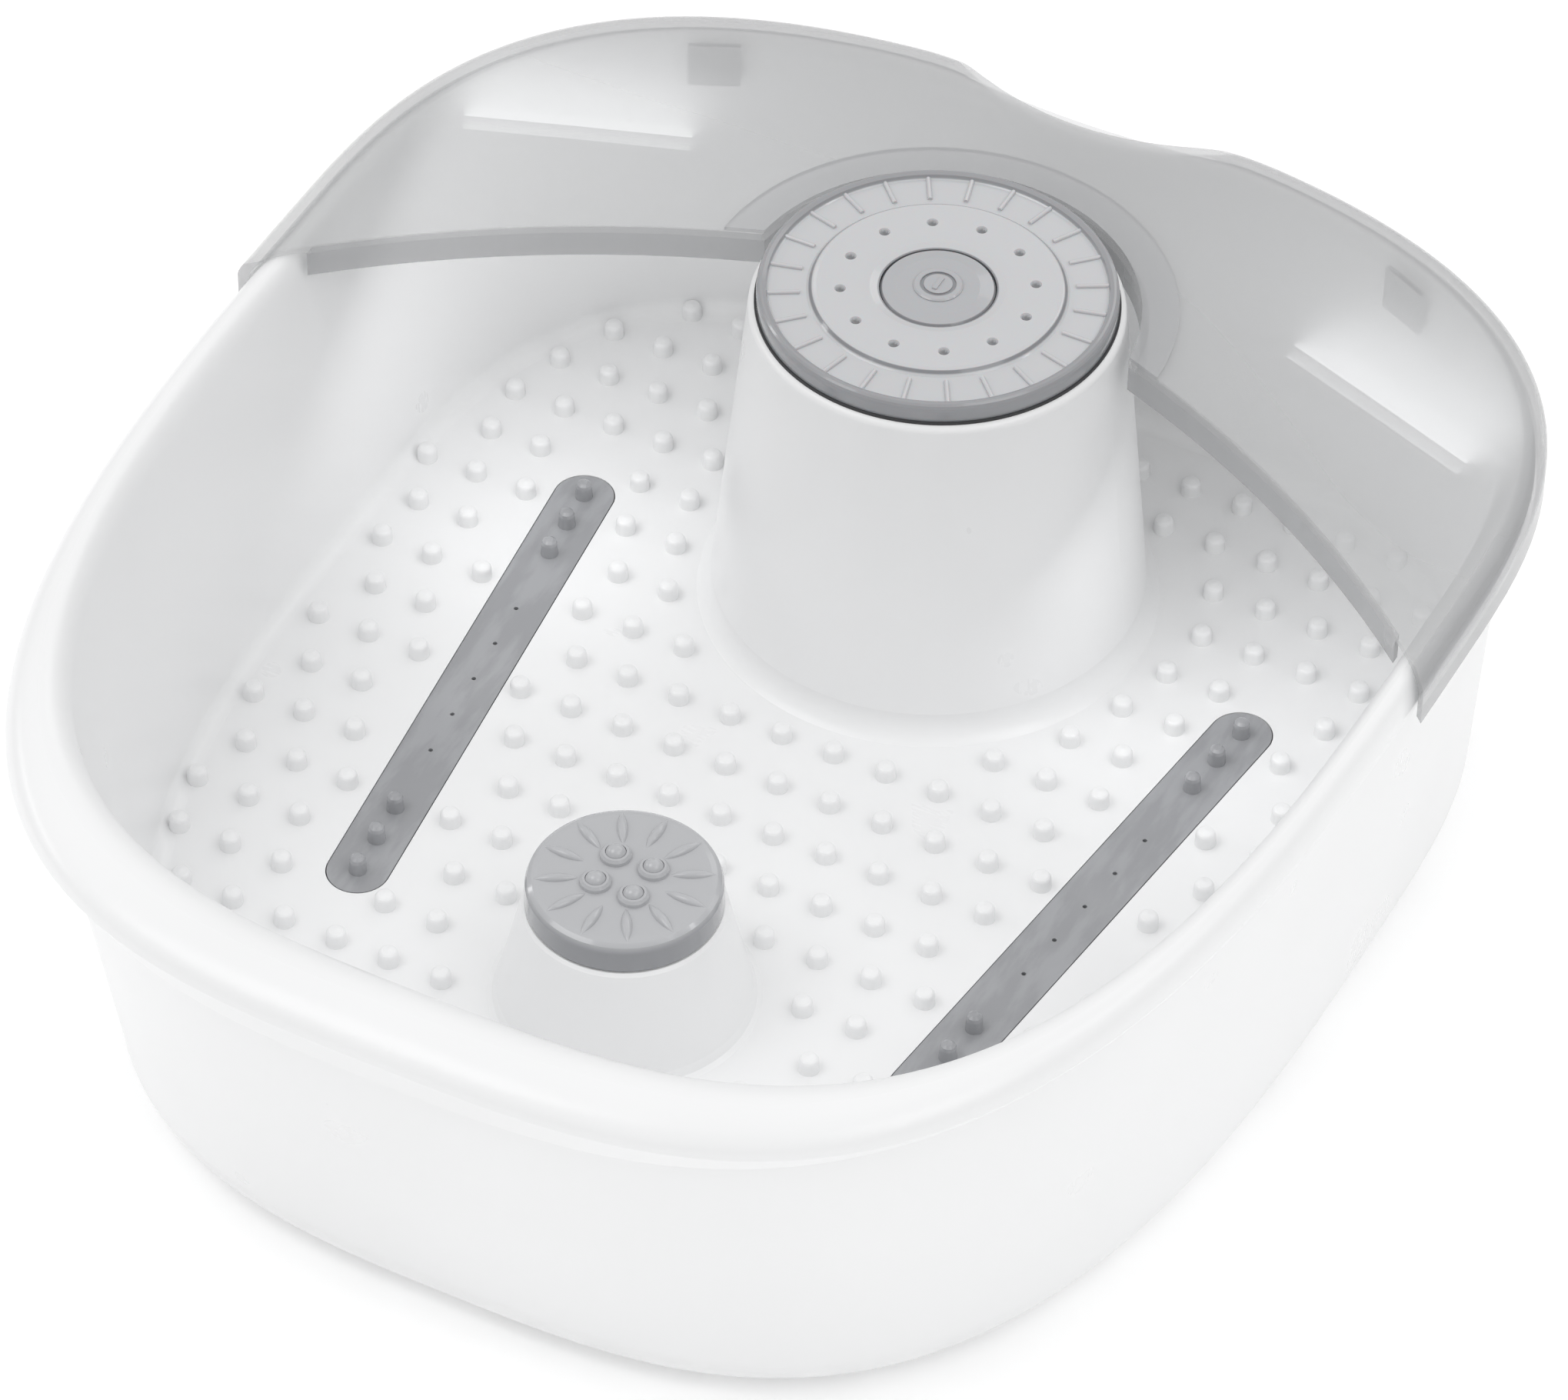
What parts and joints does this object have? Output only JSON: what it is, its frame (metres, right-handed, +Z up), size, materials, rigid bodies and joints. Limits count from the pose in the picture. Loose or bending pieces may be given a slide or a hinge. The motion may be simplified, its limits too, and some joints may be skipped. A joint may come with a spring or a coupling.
{
  "type": "foot spa basin",
  "caption": "Egg-shaped foot bath with a rolled rim, a rear control column, a lift-off splash guard, two floor bubble strips and a front massage pedestal.",
  "frame": {"origin": "on the resting surface, under the middle of the length and width", "axes": "+X to the right seen from the front rim, +Y from the front rim to the control column, +Z up"},
  "size_m": [0.3324, 0.388, 0.1352],
  "materials": {
    "white_shell": "moulded gloss",
    "guard_clear": "translucent moulded",
    "disc_grey": "translucent grey, satin gloss",
    "grey_gloss": "moulded gloss",
    "strip_grey": "moulded satin gloss",
    "rubber": "matt",
    "steel": "zinc plated",
    "inner_plastic": "natural moulded",
    "dark_plastic": "moulded",
    "cast_metal": "sintered",
    "brass": "sintered bronze",
    "aluminium": "rolled",
    "board_green": "coated laminate",
    "wire_sleeve": "soft sleeve"
  },
  "bodies": {
    "base": {"tub": "white_shell", "control_column": "white_shell", "cap_pedestal": "white_shell", "floor_nubs": "white_shell", "outer_casing": "white_shell", "control_disc": "disc_grey", "bubble_strip_right": "strip_grey", "bubble_strip_left": "strip_grey", "rubber_feet": "rubber", "disc_gasket": "rubber", "strip_gasket_right": "rubber", "strip_gasket_left": "rubber", "air_hose_right": "rubber", "air_hose_left": "rubber", "motor_mounts": "rubber", "cord_gland": "rubber", "casing_screws": "steel", "board_screws": "steel", "bracket_screws": "steel", "button_spring": "steel", "motor_can": "steel", "motor_bracket": "steel", "thermostat": "steel", "motor_end_cap": "inner_plastic", "blower_housing": "inner_plastic", "blower_cover": "inner_plastic", "button_guide": "inner_plastic", "push_switch": "dark_plastic", "terminal_block": "inner_plastic", "thermal_fuse": "dark_plastic", "motor_magnets": "cast_metal", "motor_bearings": "brass", "heater_plate": "aluminium", "heater_element": "aluminium", "control_board": "board_green", "motor_wires": "wire_sleeve", "heater_wires": "wire_sleeve"},
    "guard": {"splash_guard": "guard_clear"},
    "button": {"power_button": "disc_grey"},
    "cap": {"massage_cap": "grey_gloss"},
    "rotor": {"motor_shaft": "steel", "rotor_core": "cast_metal", "eccentric_weight": "cast_metal", "impeller": "inner_plastic"},
    "ball_1": {"massage_ball_1": "grey_gloss"},
    "ball_2": {"massage_ball_2": "grey_gloss"},
    "ball_3": {"massage_ball_3": "grey_gloss"},
    "ball_4": {"massage_ball_4": "grey_gloss"}
  },
  "joints": [
    {"name": "button_press", "type": "slide", "parent": "base", "child": "button", "axis": [0, 0, -1], "range_m": [0, 0.0015], "stiffness_N_per_m": 400, "springref_m": -0.0005, "deforming": ["button_spring"]},
    {"name": "splash_guard_lift", "type": "slide", "parent": "base", "child": "guard", "axis": [0, 0, 1], "range_m": [0, 0.04]},
    {"name": "massage_cap_lift", "type": "slide", "parent": "base", "child": "cap", "axis": [0, 0, 1], "range_m": [0, 0.02]},
    {"name": "motor_spin", "type": "hinge", "parent": "base", "child": "rotor", "pos_m": [0, 0.097, 0.05], "axis": [0, 0, 1], "continuous": true},
    {"name": "ball_1_roll", "type": "hinge", "parent": "cap", "child": "ball_1", "pos_m": [0.00525, -0.06575, 0.0713], "axis": [1, 0, 0], "continuous": true},
    {"name": "ball_2_roll", "type": "hinge", "parent": "cap", "child": "ball_2", "pos_m": [-0.00525, -0.06575, 0.0713], "axis": [1, 0, 0], "continuous": true},
    {"name": "ball_3_roll", "type": "hinge", "parent": "cap", "child": "ball_3", "pos_m": [-0.00525, -0.07625, 0.0713], "axis": [1, 0, 0], "continuous": true},
    {"name": "ball_4_roll", "type": "hinge", "parent": "cap", "child": "ball_4", "pos_m": [0.00525, -0.07625, 0.0713], "axis": [1, 0, 0], "continuous": true}
  ]
}
